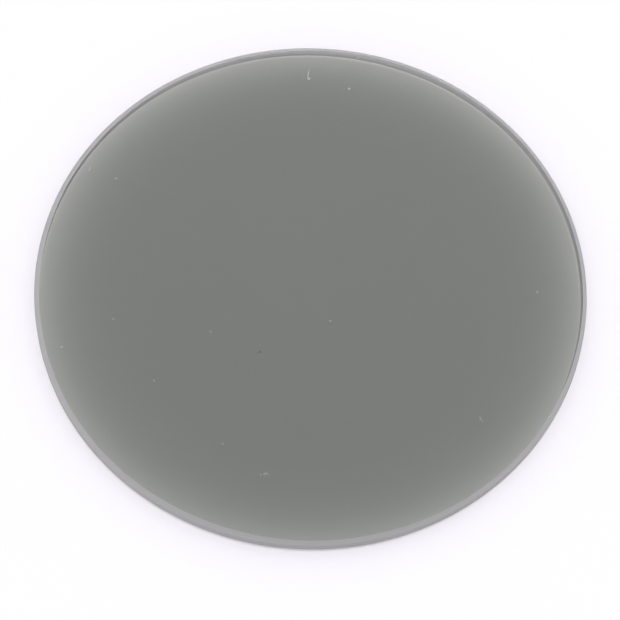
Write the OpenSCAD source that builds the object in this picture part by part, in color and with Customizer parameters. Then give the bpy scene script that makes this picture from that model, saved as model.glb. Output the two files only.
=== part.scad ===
// Round grey glass filter for a microscope's lamp.
// One flat disc of tinted glass: two polished faces, a ground rim and a ground bevel on each edge.
// Millimetres. The disc lies on the plane z = 0, with its axis on +Z through the origin.

/* [Disc] */
// Outer diameter over the ground rim
disc_diameter = 45; // [20:0.5:80]
// Thickness of the glass from face to face
disc_thickness = 1.6; // [1.2:0.1:5]

/* [Ground bevels] */
// Width of the upper bevel, measured across the upper face
upper_bevel_width = 0.4; // [0.1:0.05:0.5]
// Depth of the upper bevel, measured down the rim
upper_bevel_depth = 0.4; // [0.1:0.05:0.5]
// Width of the lower bevel, measured across the lower face
lower_bevel_width = 0.4; // [0.1:0.05:0.5]
// Height of the lower bevel, measured up the rim
lower_bevel_height = 0.4; // [0.1:0.05:0.5]

/* [Drawing] */
// Number of sides that draw the round rim
rim_sides = 240; // [64:8:360]

/* [Hidden] */

rim_radius = disc_diameter / 2;
upper_face_radius = rim_radius - upper_bevel_width;
lower_face_radius = rim_radius - lower_bevel_width;
upper_bevel_foot = disc_thickness - upper_bevel_depth;
smoky_grey = [0.49, 0.50, 0.49, 0.8];

// Half of the disc's section, from its axis out to the rim
module disc_section() {
    polygon([
        [0, 0],
        [lower_face_radius, 0],
        [rim_radius, lower_bevel_height],
        [rim_radius, upper_bevel_foot],
        [upper_face_radius, disc_thickness],
        [0, disc_thickness]
    ]);
}

// The whole glass disc, its section turned about +Z
module filter_disc() {
    color(smoky_grey)
    rotate_extrude($fn = rim_sides)
    disc_section();
}

filter_disc();
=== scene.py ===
"""A round smoky grey glass filter for a microscope's lamp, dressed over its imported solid."""

import logging
import math
from dataclasses import dataclass, field
from enum import Enum
from random import Random

import bpy
from mathutils import Matrix, Vector


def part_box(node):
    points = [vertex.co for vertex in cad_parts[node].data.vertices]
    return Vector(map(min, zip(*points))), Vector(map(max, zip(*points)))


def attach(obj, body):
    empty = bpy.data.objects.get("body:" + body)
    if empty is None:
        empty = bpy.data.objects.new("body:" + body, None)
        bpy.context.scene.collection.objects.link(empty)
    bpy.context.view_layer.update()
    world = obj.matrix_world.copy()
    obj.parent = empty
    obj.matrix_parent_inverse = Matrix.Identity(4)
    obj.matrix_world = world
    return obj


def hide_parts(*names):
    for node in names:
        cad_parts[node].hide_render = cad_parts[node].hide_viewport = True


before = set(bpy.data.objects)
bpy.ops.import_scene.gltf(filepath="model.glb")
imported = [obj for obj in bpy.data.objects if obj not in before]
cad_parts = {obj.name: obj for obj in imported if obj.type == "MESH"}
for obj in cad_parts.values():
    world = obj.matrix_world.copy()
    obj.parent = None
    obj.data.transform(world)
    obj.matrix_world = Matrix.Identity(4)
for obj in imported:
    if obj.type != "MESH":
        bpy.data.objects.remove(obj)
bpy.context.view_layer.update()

MM = 0.001
GLASS_NODE = "filter_disc"
BODY = "root"
TOUCH = 0.001 * MM  # how near a level a vertex counts as on it
NOISE_BAND = (0.3, 0.7)  # where nearly all values of a noise pattern lie
log = logging.getLogger("microscope_filter")


class Side(Enum):
    """The two polished faces of the disc."""

    UPPER = "upper"
    LOWER = "lower"


def deselect() -> None:
    """Leaves nothing selected, so that an operator acts only on what comes next."""
    if bpy.context.object is not None and bpy.context.object.mode != "OBJECT":
        bpy.ops.object.mode_set(mode="OBJECT")
    bpy.ops.object.select_all(action="DESELECT")


def name_piece(name: str) -> bpy.types.Object:
    """Names the active object and its mesh.

    Args:
        name: The piece's plain name.
    Returns:
        The active object.
    """
    piece = bpy.context.object
    piece.name = name
    piece.data.name = name
    return piece


def settle(piece: bpy.types.Object) -> None:
    """Puts a finished piece's place into its mesh, with its object at the origin.

    Args:
        piece: The object whose place, turn and scale are applied.
    """
    deselect()
    piece.select_set(True)
    bpy.context.view_layer.objects.active = piece
    bpy.ops.object.transform_apply(location=True, rotation=True, scale=True)


@dataclass(frozen=True)
class PhotoCamera:
    """The camera that took the picture, found from the disc's outline and rim lines.

    Lengths are in metres, apart from the lens and sensor in millimetres, and angles are in degrees. The frame
    is square. The sight is the nearest and the farthest distance that shows.
    """

    tilt: float = 25.52
    roll: float = 2.5
    distance: float = 250 * MM
    aim_x: float = 0.0105 * MM
    aim_y: float = -1.4766 * MM
    lens: float = 177.896
    sensor: float = 36.0
    frame_px: int = 620
    sight: tuple[float, float] = (1 * MM, 20.0)

    def turn(self) -> Matrix:
        """Returns the camera's rotation, as a matrix."""
        look = Matrix.Rotation(math.radians(self.tilt), 4, "X")
        return look @ Matrix.Rotation(math.radians(self.roll), 4, "Z")

    def place(self) -> Matrix:
        """Puts the camera behind its aim, on its line of sight.

        Returns:
            The camera's place and rotation together, as a matrix.
        """
        turn = self.turn()
        aim = Vector((self.aim_x, self.aim_y, 0))
        back = turn @ Vector((0, 0, self.distance))
        return Matrix.Translation(aim + back) @ turn

    def on_level(self, pixel: tuple[float, float], height: float) -> Vector:
        """Finds the point that a pixel of the picture shows on a level plane.

        Args:
            pixel: Column and row in the picture's frame.
            height: The plane's height over the floor, in metres.
        Returns:
            The point, in the part's own frame.
        """
        reach = self.sensor / self.lens / self.frame_px
        half = self.frame_px / 2
        ray = Vector(((pixel[0] - half) * reach, (half - pixel[1]) * reach, -1))
        place = self.place()
        start = place.translation
        along = place.to_3x3() @ ray
        return start + along * ((height - start.z) / along.z)

    def build(self) -> bpy.types.Object:
        """Adds the camera to the scene and makes it the one that renders.

        Returns:
            The camera.
        """
        deselect()
        bpy.ops.object.camera_add()
        camera = bpy.context.object
        camera.name = "photo_camera"
        camera.matrix_world = self.place()
        camera.data.lens = self.lens
        camera.data.sensor_width = self.sensor
        camera.data.clip_start, camera.data.clip_end = self.sight
        bpy.context.scene.camera = camera
        return camera


class NodeDesk:
    """A short way to lay out and join a material's nodes."""

    def __init__(self, name: str) -> None:
        """Starts an empty material.

        Args:
            name: The material's name.
        """
        self.material = bpy.data.materials.new(name)
        self.material.use_nodes = True
        self.tree = self.material.node_tree
        self.tree.nodes.clear()
        self.out = self.add("ShaderNodeOutputMaterial")

    def add(self, kind: str, **settings: object) -> bpy.types.Node:
        """Adds a node.

        Args:
            kind: The node's type name.
            settings: Its properties, by name.
        Returns:
            The new node.
        """
        node = self.tree.nodes.new(kind)
        for key, value in settings.items():
            setattr(node, key, value)
        return node

    def join(self, source: bpy.types.NodeSocket, target: bpy.types.NodeSocket) -> None:
        """Links one socket to another."""
        self.tree.links.new(source, target)

    def math(self, operation: str, *values: object) -> bpy.types.NodeSocket:
        """Adds a sum.

        Args:
            operation: The Math node's operation.
            values: Up to three sockets or numbers.
        Returns:
            The result's socket.
        """
        node = self.add("ShaderNodeMath", operation=operation)
        for socket, value in zip(node.inputs, values):
            if isinstance(value, bpy.types.NodeSocket):
                self.join(value, socket)
            else:
                socket.default_value = value
        return node.outputs[0]

    def ramp(
        self,
        value: bpy.types.NodeSocket,
        low: float,
        high: float,
        start: float = 0.0,
        end: float = 1.0,
    ) -> bpy.types.NodeSocket:
        """Maps a stretch of values smoothly onto another.

        Args:
            value: The socket that is mapped.
            low: The value that becomes start.
            high: The value that becomes end.
            start: The result at low and below.
            end: The result at high and above.
        Returns:
            The mapped socket.
        """
        node = self.add("ShaderNodeMapRange", interpolation_type="SMOOTHSTEP")
        self.join(value, node.inputs["Value"])
        node.inputs["From Min"].default_value = low
        node.inputs["From Max"].default_value = high
        node.inputs["To Min"].default_value = start
        node.inputs["To Max"].default_value = end
        return node.outputs["Result"]

    def position(self) -> bpy.types.NodeSocket:
        """Returns the piece's own coordinates, in metres."""
        return self.add("ShaderNodeTexCoord").outputs["Object"]

    def noise(self, place: bpy.types.NodeSocket, grain: float, detail: float = 2.0) -> bpy.types.NodeSocket:
        """Adds a noise pattern.

        Args:
            place: The coordinates that it follows.
            grain: The size of one patch, in metres.
            detail: How many finer layers it holds.
        Returns:
            The pattern's value, about 0.5 on average.
        """
        node = self.add("ShaderNodeTexNoise")
        self.join(place, node.inputs["Vector"])
        node.inputs["Scale"].default_value = 1 / grain
        node.inputs["Detail"].default_value = detail
        return node.outputs["Fac"]

    def blend(
        self,
        share: bpy.types.NodeSocket,
        first: bpy.types.NodeSocket,
        second: bpy.types.NodeSocket,
    ) -> bpy.types.NodeSocket:
        """Mixes two values by a share.

        Args:
            share: 0 for the first value, 1 for the second.
            first: The first value's socket.
            second: The second value's socket.
        Returns:
            The mixed value's socket.
        """
        node = self.add("ShaderNodeMix", data_type="FLOAT")
        self.join(share, node.inputs["Factor"])
        self.join(first, node.inputs["A"])
        self.join(second, node.inputs["B"])
        return node.outputs["Result"]

    def mix(self, share: bpy.types.NodeSocket, first: object, second: object) -> bpy.types.NodeSocket:
        """Mixes two colours by a share.

        Args:
            share: 0 for the first colour, 1 for the second.
            first: A socket, or linear red, green and blue.
            second: A socket, or linear red, green and blue.
        Returns:
            The mixed colour's socket.
        """
        node = self.add("ShaderNodeMix", data_type="RGBA")
        self.join(share, node.inputs["Factor"])
        for name, colour in (("A", first), ("B", second)):
            if isinstance(colour, bpy.types.NodeSocket):
                self.join(colour, node.inputs[name])
            else:
                node.inputs[name].default_value = (*colour, 1)
        return node.outputs["Result"]


@dataclass(frozen=True)
class SmokyGlass:
    """Grey glass tinted right through, polished on its faces and ground on its edge.

    Lengths are in metres. A skin is a depth under a polished face: the surface is polished down to the clear
    skin and ground below the face skin. Polish and grind are roughnesses, to which the smears add up to smear
    and the grit up to grit_spread. The grind_clear share of the ground glass lets light through. The tint's
    density is per metre.
    """

    thickness: float
    ior: float = 1.52
    tint: tuple[float, float, float] = (0.543, 0.57, 0.543)
    tint_density: float = 1000.0
    polish: float = 0.01
    smear: float = 0.02
    smear_size: float = 9 * MM
    smear_detail: float = 4.0
    smear_band: tuple[float, float] = (0.35, 0.75)
    grind: float = 0.648
    grind_clear: float = 0.713
    grind_colour: tuple[float, float, float] = (0.93, 0.905, 0.965)
    grit: float = 0.05 * MM
    grit_detail: float = 3.0
    grit_spread: float = 0.06
    grit_depth: float = 0.004 * MM
    face_skin: float = 0.025 * MM
    clear_skin: float = 0.00625 * MM

    def build(self) -> bpy.types.Material:
        """Mixes the polished and the ground finish by the depth under the faces, and tints the inside.

        Returns:
            The glass as a material.
        """
        desk = NodeDesk("smoky_glass")
        place = desk.position()
        split = desk.add("ShaderNodeSeparateXYZ")
        desk.join(place, split.inputs[0])
        half = self.thickness / 2
        from_middle = desk.math("ABSOLUTE", desk.math("SUBTRACT", split.outputs["Z"], half))
        ground = desk.ramp(from_middle, half - self.face_skin, half - self.clear_skin, 1.0, 0.0)

        glass = desk.add("ShaderNodeBsdfPrincipled")
        glass.inputs["IOR"].default_value = self.ior
        desk.join(desk.mix(ground, (1.0, 1.0, 1.0), self.grind_colour), glass.inputs["Base Color"])

        smears = desk.noise(place, self.smear_size, self.smear_detail)
        polished = desk.ramp(smears, *self.smear_band, self.polish, self.polish + self.smear)
        grain = desk.noise(place, self.grit, self.grit_detail)
        worked = desk.ramp(grain, *NOISE_BAND, self.grind - self.grit_spread, self.grind + self.grit_spread)
        desk.join(desk.blend(ground, polished, worked), glass.inputs["Roughness"])
        desk.join(desk.ramp(ground, 0.0, 1.0, 1.0, self.grind_clear), glass.inputs["Transmission Weight"])

        bump = desk.add("ShaderNodeBump")
        bump.inputs["Strength"].default_value = 1.0
        bump.inputs["Distance"].default_value = self.grit_depth
        desk.join(desk.math("MULTIPLY", grain, ground), bump.inputs["Height"])
        desk.join(bump.outputs["Normal"], glass.inputs["Normal"])

        tint = desk.add("ShaderNodeVolumeAbsorption")
        tint.inputs["Color"].default_value = (*self.tint, 1)
        tint.inputs["Density"].default_value = self.tint_density
        desk.join(glass.outputs["BSDF"], desk.out.inputs["Surface"])
        desk.join(tint.outputs["Volume"], desk.out.inputs["Volume"])
        return desk.material


@dataclass
class FilterGlass:
    """The glass disc: two polished faces, a ground rim and a ground bevel on each edge.

    Lengths are in metres and the angle is in degrees. A bevel's run-out is how far its inner edge lies off
    the disc's axis. The arrises are the small roundings at the polished faces and at the rim's wall, and the
    strips are how many strips draw each. Edges that turn by less than the smooth angle are shaded smooth.
    """

    radius: float
    thickness: float
    bevel: float = 0.4 * MM
    upper_run_out: tuple[float, float] = (0.045 * MM, -0.091 * MM)
    lower_run_out: tuple[float, float] = (-0.047 * MM, -0.012 * MM)
    sides: int = 720
    face_arris: float = 0.015 * MM
    wall_arris: float = 0.038 * MM
    face_strips: int = 2
    wall_strips: int = 4
    smooth_angle: float = 12.0
    name: str = "filter_glass"
    piece: bpy.types.Object = field(init=False, default=None)

    def height(self, side: Side) -> float:
        """Returns the height of one face over the floor."""
        return self.thickness if side is Side.UPPER else 0.0

    def select_face(self, side: Side) -> None:
        """Selects one polished face and its edge, in edit mode.

        Args:
            side: Which face.
        """
        bpy.ops.object.mode_set(mode="OBJECT")
        mesh = self.piece.data
        level = self.height(side)
        for vertex in mesh.vertices:
            vertex.select = abs(vertex.co.z - level) < TOUCH
        for edge in mesh.edges:
            edge.select = all(mesh.vertices[v].select for v in edge.vertices)
        for polygon in mesh.polygons:
            polygon.select = all(mesh.vertices[v].select for v in polygon.vertices)
        bpy.ops.object.mode_set(mode="EDIT")

    def cut_blank(self) -> None:
        """Adds the plain round blank."""
        deselect()
        bpy.ops.mesh.primitive_cylinder_add(
            vertices=self.sides,
            radius=self.radius,
            depth=self.thickness,
            location=(0, 0, self.thickness / 2),
        )
        self.piece = name_piece(self.name)
        settle(self.piece)

    def grind_bevel(self, side: Side, run_out: tuple[float, float]) -> None:
        """Grinds the bevel round one face, a little off centre.

        Args:
            side: Which face.
            run_out: How far the face's edge is moved along X and Y.
        """
        bpy.ops.object.mode_set(mode="EDIT")
        bpy.ops.mesh.select_mode(type="EDGE")
        self.select_face(side)
        bpy.ops.mesh.bevel(offset_type="OFFSET", offset=self.bevel, segments=1, affect="EDGES")
        self.select_face(side)
        bpy.ops.transform.translate(value=(*run_out, 0))
        bpy.ops.object.mode_set(mode="OBJECT")

    def soften(self, levels: tuple[float, float], width: float, strips: int) -> None:
        """Rounds the bevels' edges round the disc, as grinding leaves them.

        Args:
            levels: The heights of the two edges, over the floor.
            width: How far the rounding reaches over each side of the edge.
            strips: How many strips draw the rounding.
        """
        bpy.ops.object.mode_set(mode="EDIT")
        bpy.ops.mesh.select_mode(type="EDGE")
        bpy.ops.mesh.select_all(action="DESELECT")
        bpy.ops.object.mode_set(mode="OBJECT")
        mesh = self.piece.data
        for edge in mesh.edges:
            heights = [mesh.vertices[v].co.z for v in edge.vertices]
            edge.select = any(all(abs(z - level) < TOUCH for z in heights) for level in levels)
        bpy.ops.object.mode_set(mode="EDIT")
        bpy.ops.mesh.bevel(offset_type="OFFSET", offset=width, segments=strips, affect="EDGES")
        bpy.ops.object.mode_set(mode="OBJECT")

    def flatten_face(self, side: Side) -> None:
        """Shades one polished face flat, so that the rounding at its edge doesn't bend its reflections.

        Args:
            side: Which face.
        """
        bpy.ops.object.mode_set(mode="EDIT")
        bpy.ops.mesh.select_mode(type="EDGE")
        self.select_face(side)
        bpy.ops.mesh.faces_shade_flat()
        bpy.ops.object.mode_set(mode="OBJECT")

    def build(self) -> bpy.types.Object:
        """Models the disc and dresses it.

        Returns:
            The finished piece.
        """
        self.cut_blank()
        self.grind_bevel(Side.UPPER, self.upper_run_out)
        self.grind_bevel(Side.LOWER, self.lower_run_out)
        self.soften((self.bevel, self.thickness - self.bevel), self.wall_arris, self.wall_strips)
        self.soften((0.0, self.thickness), self.face_arris, self.face_strips)
        bpy.ops.object.shade_smooth_by_angle(angle=math.radians(self.smooth_angle))
        for side in Side:
            self.flatten_face(side)
        self.piece.data.materials.clear()
        self.piece.data.materials.append(SmokyGlass(self.thickness).build())
        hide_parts(GLASS_NODE)
        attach(self.piece, BODY)
        log.info("%s: %d faces", self.name, len(self.piece.data.polygons))
        return self.piece


class Dirt(Enum):
    """What has settled on the glass, with its linear colour."""

    PALE = (0.6, 0.6, 0.585)
    GREY = (0.37, 0.385, 0.37)
    DARK = (0.17, 0.18, 0.18)


@dataclass(frozen=True)
class DullDirt:
    """The dull finish of dust and lint, darker by the mottle's share in spots. Lengths are in metres."""

    dirt: Dirt
    mottle: float = 0.15
    mottle_size: float = 0.02 * MM
    roughness: float = 0.95
    bump: float = 0.002 * MM

    def build(self) -> bpy.types.Material:
        """Mottles the dirt's colour and roughens its surface.

        Returns:
            The dirt as a material.
        """
        desk = NodeDesk(f"{self.dirt.name.lower()}_dirt")
        spots = desk.ramp(desk.noise(desk.position(), self.mottle_size), *NOISE_BAND)
        dull = desk.add("ShaderNodeBsdfPrincipled")
        dull.inputs["Roughness"].default_value = self.roughness
        shaded = tuple(level * (1 - self.mottle) for level in self.dirt.value)
        desk.join(desk.mix(spots, shaded, self.dirt.value), dull.inputs["Base Color"])
        bump = desk.add("ShaderNodeBump")
        bump.inputs["Distance"].default_value = self.bump
        desk.join(spots, bump.inputs["Height"])
        desk.join(bump.outputs["Normal"], dull.inputs["Normal"])
        desk.join(dull.outputs["BSDF"], desk.out.inputs["Surface"])
        return desk.material


@dataclass(frozen=True)
class Patch:
    """A patch of dust on the upper face.

    The pixel is its middle in the picture. The width of its grains and how far they scatter along X and Y are
    in metres.
    """

    pixel: tuple[float, float]
    grains: int
    width: float
    scatter: tuple[float, float] = (0.0, 0.0)


@dataclass
class Dust:
    """The grains of one kind of dust on the upper face, each a flat rough crumb.

    The flatness is a crumb's height as a share of its width, sunk is the share of that height under the face,
    and roughness is how far its surface strays, as a share of its width. Uneven is the range of the crumbs'
    widths over a patch's own, and stretch is the range of their length over their mean width. Fineness is how
    finely a crumb's sphere is divided, and shapes is how many odd shapes are drawn from.
    """

    camera: PhotoCamera
    face_height: float
    dirt: Dirt
    patches: tuple[Patch, ...]
    flatness: float = 0.2
    sunk: float = 0.3
    roughness: float = 0.12
    uneven: tuple[float, float] = (0.8, 1.2)
    stretch: tuple[float, float] = (0.85, 1.2)
    fineness: int = 2
    shapes: int = 1000
    seed: int = 7

    def add_grain(self, spot: Vector, width: float, draw: Random) -> None:
        """Adds one crumb to the mesh that is open in edit mode.

        Args:
            spot: Its place on the face.
            width: Its mean width.
            draw: The source of its odd shape.
        """
        lift = width * self.flatness * (0.5 - self.sunk)
        bpy.ops.mesh.select_all(action="DESELECT")
        bpy.ops.mesh.primitive_ico_sphere_add(
            subdivisions=self.fineness,
            radius=width / 2,
            location=spot + Vector((0, 0, lift)),
            rotation=(0, 0, draw.uniform(0, math.pi)),
        )
        bpy.ops.transform.vertex_random(offset=width * self.roughness, seed=draw.randrange(self.shapes))
        longer = draw.uniform(*self.stretch)
        bpy.ops.transform.resize(value=(longer, 1 / longer, self.flatness))

    def build(self) -> bpy.types.Object:
        """Scatters the grains and dresses them.

        Returns:
            The finished piece.
        """
        draw = Random(self.seed)
        deselect()
        bpy.ops.mesh.primitive_plane_add(size=self.face_height)
        piece = name_piece(f"{self.dirt.name.lower()}_dust")
        bpy.ops.object.mode_set(mode="EDIT")
        bpy.ops.mesh.delete(type="VERT")
        for patch in self.patches:
            middle = self.camera.on_level(patch.pixel, self.face_height)
            for _ in range(patch.grains):
                offset = Vector((*(draw.gauss(0, reach) for reach in patch.scatter), 0))
                self.add_grain(middle + offset, patch.width * draw.uniform(*self.uneven), draw)
        bpy.ops.object.mode_set(mode="OBJECT")
        piece.data.materials.append(DullDirt(self.dirt).build())
        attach(piece, BODY)
        log.info("%s: %d patches", piece.name, len(self.patches))
        return piece


@dataclass
class Lint:
    """A bit of pale fibre that lies on the upper face.

    The route is its points in the picture, and the widths are its thickness at each, in metres. Sunk is the
    share of its radius under the face, and the flatness is its height as a share of its width. Steps is how
    many lengths lie between two points, and facets is how finely its round section is divided. Points nearer
    than the weld's share of the narrowest width become one.
    """

    camera: PhotoCamera
    face_height: float
    name: str
    route: tuple[tuple[float, float], ...]
    widths: tuple[float, ...]
    sunk: float = 0.4
    flatness: float = 0.5
    steps: int = 6
    facets: int = 2
    weld: float = 0.01

    def build(self) -> bpy.types.Object:
        """Lays the fibre along its route and dresses it.

        Returns:
            The finished piece.
        """
        deselect()
        bpy.ops.curve.primitive_bezier_curve_add()
        curve = bpy.context.object.data
        curve.dimensions = "3D"
        curve.resolution_u = self.steps
        curve.bevel_resolution = self.facets
        curve.bevel_depth = max(self.widths) / 2
        curve.use_fill_caps = True
        points = curve.splines[0].bezier_points
        points.add(len(self.route) - len(points))
        for point, pixel, width in zip(points, self.route, self.widths):
            lift = width / 2 * (1 - self.sunk)
            point.co = self.camera.on_level(pixel, self.face_height) + Vector((0, 0, lift))
            point.radius = width / max(self.widths)
            point.handle_left_type = "AUTO"
            point.handle_right_type = "AUTO"
        bpy.ops.object.convert(target="MESH")
        piece = name_piece(self.name)
        bpy.ops.object.mode_set(mode="EDIT")
        bpy.ops.mesh.select_all(action="SELECT")
        bpy.ops.mesh.remove_doubles(threshold=min(self.widths) * self.weld)
        bpy.ops.transform.resize(value=(1, 1, self.flatness), center_override=(0, 0, self.face_height))
        bpy.ops.mesh.normals_make_consistent(inside=False)
        bpy.ops.object.mode_set(mode="OBJECT")
        bpy.ops.object.shade_smooth()
        piece.data.materials.clear()
        piece.data.materials.append(DullDirt(Dirt.PALE).build())
        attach(piece, BODY)
        log.info("%s: %d points", self.name, len(self.route))
        return piece


@dataclass
class Dirtying:
    """The dust and lint that the picture shows on the filter.

    Places are columns and rows of the picture, and lengths are in metres.
    """

    camera: PhotoCamera
    face_height: float
    pale: tuple[Patch, ...] = (
        Patch(pixel=(349.07, 88.74), grains=1, width=0.165 * MM),
        Patch(pixel=(116.0, 178.45), grains=1, width=0.14 * MM),
        Patch(pixel=(61.6, 347.0), grains=3, width=0.085 * MM, scatter=(0.055 * MM, 0.055 * MM)),
        Patch(pixel=(537.5, 291.8), grains=3, width=0.09 * MM, scatter=(0.025 * MM, 0.06 * MM)),
    )
    grey: tuple[Patch, ...] = (
        Patch(pixel=(113.5, 319.3), grains=3, width=0.09 * MM, scatter=(0.06 * MM, 0.06 * MM)),
        Patch(pixel=(210.8, 331.7), grains=3, width=0.14 * MM, scatter=(0.05 * MM, 0.05 * MM)),
        Patch(pixel=(330.6, 321.5), grains=3, width=0.125 * MM, scatter=(0.04 * MM, 0.05 * MM)),
        Patch(pixel=(480.8, 418.9), grains=5, width=0.105 * MM, scatter=(0.12 * MM, 0.12 * MM)),
        Patch(pixel=(264.8, 474.5), grains=14, width=0.09 * MM, scatter=(0.2 * MM, 0.17 * MM)),
        Patch(pixel=(154.3, 380.1), grains=3, width=0.085 * MM, scatter=(0.12 * MM, 0.12 * MM)),
        Patch(pixel=(222.8, 444.7), grains=3, width=0.11 * MM, scatter=(0.11 * MM, 0.11 * MM)),
    )
    dark: tuple[Patch, ...] = (
        Patch(pixel=(259.8, 351.9), grains=5, width=0.075 * MM, scatter=(0.12 * MM, 0.12 * MM)),
    )

    def lint(self) -> list[Lint]:
        """Lists the bits of fibre, from the longest.

        Returns:
            The fibres, not yet built.
        """
        hooked = Lint(
            self.camera,
            self.face_height,
            "lint_hooked",
            route=((310.1, 67.8), (309.3, 70.2), (308.4, 72.6), (308.0, 75.5), (308.0, 78.4),
                   (308.5, 79.7), (309.5, 78.9), (310.9, 78.1)),
            widths=(0.028 * MM, 0.042 * MM, 0.056 * MM, 0.07 * MM, 0.082 * MM,
                    0.086 * MM, 0.07 * MM, 0.044 * MM),
        )
        curled = Lint(
            self.camera,
            self.face_height,
            "lint_curled",
            route=((89.9, 166.3), (90.0, 168.3), (89.5, 169.9), (88.0, 171.2)),
            widths=(0.036 * MM, 0.056 * MM, 0.06 * MM, 0.036 * MM),
        )
        short = Lint(
            self.camera,
            self.face_height,
            "lint_short",
            route=((357.9, 55.6), (358.0, 57.6), (357.9, 59.6)),
            widths=(0.06 * MM, 0.075 * MM, 0.06 * MM),
        )
        return [hooked, curled, short]

    def build(self) -> None:
        """Adds all of the dirt."""
        for dirt, patches in ((Dirt.PALE, self.pale), (Dirt.GREY, self.grey), (Dirt.DARK, self.dark)):
            Dust(self.camera, self.face_height, dirt, patches).build()
        for fibre in self.lint():
            fibre.build()


@dataclass(frozen=True)
class PaintedGlowTable:
    """A white table top with a painted glow under and round the disc, and painted shade near its rim.

    The glow is emission: painted light that stands in for light soaking sideways through the table, which is
    no lamp.
    Distances are in metres from the disc's rim, and a glow of 1 is white. A reach is the distance in which
    a glow falls to about a third, and a lean is how much stronger the glow is behind the disc than beside it,
    as a share. Under the disc lies the inner glow, with the rim's own under the bevel, as far in as the rim
    width, and round the disc lies the outer glow. The seam is how softly the three meet. The white is painted
    darker and bluer near the rim than far off, fading over the fade, as painted shade round the disc.
    """

    rim: float
    # Painted shade round the disc: the white near the rim is darker and bluer than far off.
    near: tuple[float, float, float] = (0.965, 0.945, 1.0)
    far: tuple[float, float, float] = (0.99, 0.99, 0.995)
    fade: float = 6 * MM
    # Painted glow: the emission's strengths, reaches and leans under and round the disc.
    under_glow: float = 0.105
    edge_glow: float = 0.405
    edge_reach: float = 1.79 * MM
    edge_lean: float = 0.145
    rim_glow: float = 0.527
    rim_reach: float = 0.15 * MM
    rim_width: float = 0.375 * MM
    rim_lean: float = 0.726
    outer_glow: float = 0.166
    outer_reach: float = 1.55 * MM
    outer_lean: float = -0.56
    far_glow: float = 0.02
    seam: float = 0.06 * MM
    # The painted glows' colours.
    inner_colour: tuple[float, float, float] = (1.0, 0.945, 0.91)
    rim_colour: tuple[float, float, float] = (1.0, 0.93, 0.8)
    outer_colour: tuple[float, float, float] = (0.98, 0.95, 1.0)

    def leaned(
        self,
        desk: NodeDesk,
        glow: bpy.types.NodeSocket,
        behind: bpy.types.NodeSocket,
        lean: float,
    ) -> bpy.types.NodeSocket:
        """Makes a glow stronger behind the disc and weaker in front of it.

        Args:
            desk: The material's desk.
            glow: The glow beside the disc.
            behind: 1 at the disc's far side and -1 at its near side.
            lean: The share that is added behind the disc.
        Returns:
            The glow's socket.
        """
        return desk.math("MULTIPLY", desk.math("MULTIPLY_ADD", behind, lean, 1.0), glow)

    def fading(
        self,
        desk: NodeDesk,
        distance: bpy.types.NodeSocket,
        level: float,
        reach: float,
        base: float = 0.0,
    ) -> bpy.types.NodeSocket:
        """Lays out a glow that fades away from the rim.

        Args:
            desk: The material's desk.
            distance: How far off the rim, 0 or more.
            level: The glow at the rim, over the base.
            reach: The distance in which it falls to about a third.
            base: What stays far off.
        Returns:
            The glow's socket.
        """
        fall = desk.math("EXPONENT", desk.math("DIVIDE", distance, -reach))
        return desk.math("MULTIPLY_ADD", fall, level, base)

    def build(self) -> bpy.types.Material:
        """Joins the painted glows round the rim and gives the top its white, with painted shade near the rim.

        Returns:
            The table top as a material.
        """
        desk = NodeDesk("painted_glow_table")
        split = desk.add("ShaderNodeSeparateXYZ")
        desk.join(desk.position(), split.inputs[0])
        across = desk.math("POWER", split.outputs["X"], 2.0)
        along = desk.math("POWER", split.outputs["Y"], 2.0)
        reach = desk.math("SQRT", desk.math("ADD", across, along))
        out_by = desk.math("SUBTRACT", reach, self.rim)
        distance = desk.math("ABSOLUTE", out_by)
        behind = desk.math("DIVIDE", split.outputs["Y"], self.rim)

        # Painted light: emission glows under and round the disc; the rim's glow, weak in front, leaves a
        # painted contact shadow under the near bevel.
        inner = self.fading(desk, distance, self.edge_glow, self.edge_reach, self.under_glow)
        inner = self.leaned(desk, inner, behind, self.edge_lean)
        rim = self.fading(desk, distance, self.rim_glow, self.rim_reach)
        rim = self.leaned(desk, rim, behind, self.rim_lean)
        outer = self.fading(desk, distance, self.outer_glow, self.outer_reach)
        outer = self.leaned(desk, outer, behind, self.outer_lean)
        outer = desk.math("ADD", outer, self.far_glow)
        under_rim = desk.ramp(out_by, -self.rim_width, self.seam - self.rim_width)
        outside = desk.ramp(out_by, -self.seam, 0.0)
        glow = desk.blend(outside, desk.blend(under_rim, inner, rim), outer)

        white = desk.add("ShaderNodeBsdfPrincipled")
        white.inputs["Roughness"].default_value = 1.0
        white.inputs["Specular IOR Level"].default_value = 0.0
        # Painted shade: the white is darker and bluer near the rim, fading to the far white over the fade.
        near_painted_shade = desk.mix(desk.ramp(out_by, 0.0, self.fade), self.near, self.far)
        desk.join(near_painted_shade, white.inputs["Base Color"])
        inner_colour = desk.mix(under_rim, self.inner_colour, self.rim_colour)
        colour = desk.mix(outside, inner_colour, self.outer_colour)
        # The painted glows' colours and strengths go into the table's emission.
        desk.join(colour, white.inputs["Emission Color"])
        desk.join(glow, white.inputs["Emission Strength"])
        desk.join(white.outputs["BSDF"], desk.out.inputs["Surface"])
        return desk.material


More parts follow.
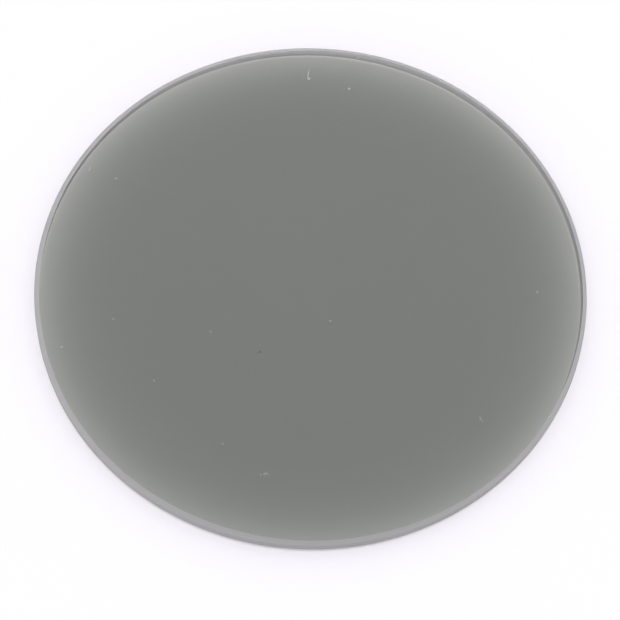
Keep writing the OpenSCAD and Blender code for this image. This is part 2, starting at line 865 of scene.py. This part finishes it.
@dataclass
class Studio:
    """A white table under soft white light from all round.

    Lengths are in metres. The light is the sky's mean strength on the table. It is stronger towards the key
    direction, by the key's strength. Below horizon_top, the sine of an angle, it dims to the horizon's share.
    The air gap is how far the disc lies off the table, on the dust under it.
    """

    rim: float
    table_size: float = 1.2
    table_depth: float = 20 * MM
    air_gap: float = 0.08 * MM
    light: float = 1.0
    key: tuple[float, float, float] = (-0.03, 0.9, 0.63)
    key_strength: float = 0.505
    horizon: float = 0.68
    horizon_top: float = 0.35

    def build_table(self) -> bpy.types.Object:
        """Adds the table, whose top the disc lies on.

        Returns:
            The table.
        """
        deselect()
        middle = Vector((0, 0, -self.table_depth / 2 - self.air_gap))
        bpy.ops.mesh.primitive_cube_add(size=1, location=middle)
        table = name_piece("table")
        table.scale = (self.table_size, self.table_size, self.table_depth)
        settle(table)
        # Its top carries a painted glow and painted shade round the disc.
        table.data.materials.append(PaintedGlowTable(self.rim).build())
        return table

    def build_light(self) -> None:
        """Lights the scene with soft white all round, stronger from behind and above and dimmer low down."""
        toward = Vector(self.key).normalized()
        # On a level surface the key adds two thirds of its strength times its height, which comes off here.
        even = self.light - 2 / 3 * self.key_strength * toward.z
        world = bpy.data.worlds.new("soft_light")
        world.use_nodes = True
        bpy.context.scene.world = world
        tree = world.node_tree
        tree.nodes.clear()
        where = tree.nodes.new("ShaderNodeTexCoord")
        facing = tree.nodes.new("ShaderNodeVectorMath")
        facing.operation = "DOT_PRODUCT"
        tree.links.new(where.outputs["Generated"], facing.inputs[0])
        facing.inputs[1].default_value = toward
        level = tree.nodes.new("ShaderNodeMath")
        level.operation = "MULTIPLY_ADD"
        tree.links.new(facing.outputs["Value"], level.inputs[0])
        level.inputs[1].default_value = self.key_strength
        level.inputs[2].default_value = even
        split = tree.nodes.new("ShaderNodeSeparateXYZ")
        tree.links.new(where.outputs["Generated"], split.inputs[0])
        dimming = tree.nodes.new("ShaderNodeMapRange")
        tree.links.new(split.outputs["Z"], dimming.inputs["Value"])
        dimming.inputs["From Max"].default_value = self.horizon_top
        dimming.inputs["To Min"].default_value = self.horizon
        dimmed = tree.nodes.new("ShaderNodeMath")
        dimmed.operation = "MULTIPLY"
        tree.links.new(level.outputs[0], dimmed.inputs[0])
        tree.links.new(dimming.outputs["Result"], dimmed.inputs[1])
        background = tree.nodes.new("ShaderNodeBackground")
        background.inputs["Color"].default_value = (1, 1, 1, 1)
        tree.links.new(dimmed.outputs[0], background.inputs["Strength"])
        out = tree.nodes.new("ShaderNodeOutputWorld")
        tree.links.new(background.outputs["Background"], out.inputs["Surface"])
        bpy.context.scene.view_settings.view_transform = "Standard"

    def build(self) -> None:
        """Builds the table and the light."""
        self.build_table()
        self.build_light()
        log.info("studio: table and light")


def main() -> None:
    """Builds the camera, the studio and the filter."""
    logging.basicConfig(level=logging.INFO, format="%(name)s: %(message)s")
    low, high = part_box(GLASS_NODE)
    radius = (high.x - low.x) / 2
    thickness = high.z - low.z
    camera = PhotoCamera()
    camera.build()
    Studio(radius).build()
    FilterGlass(radius, thickness).build()
    Dirtying(camera, thickness).build()


if __name__ == "__main__":
    main()
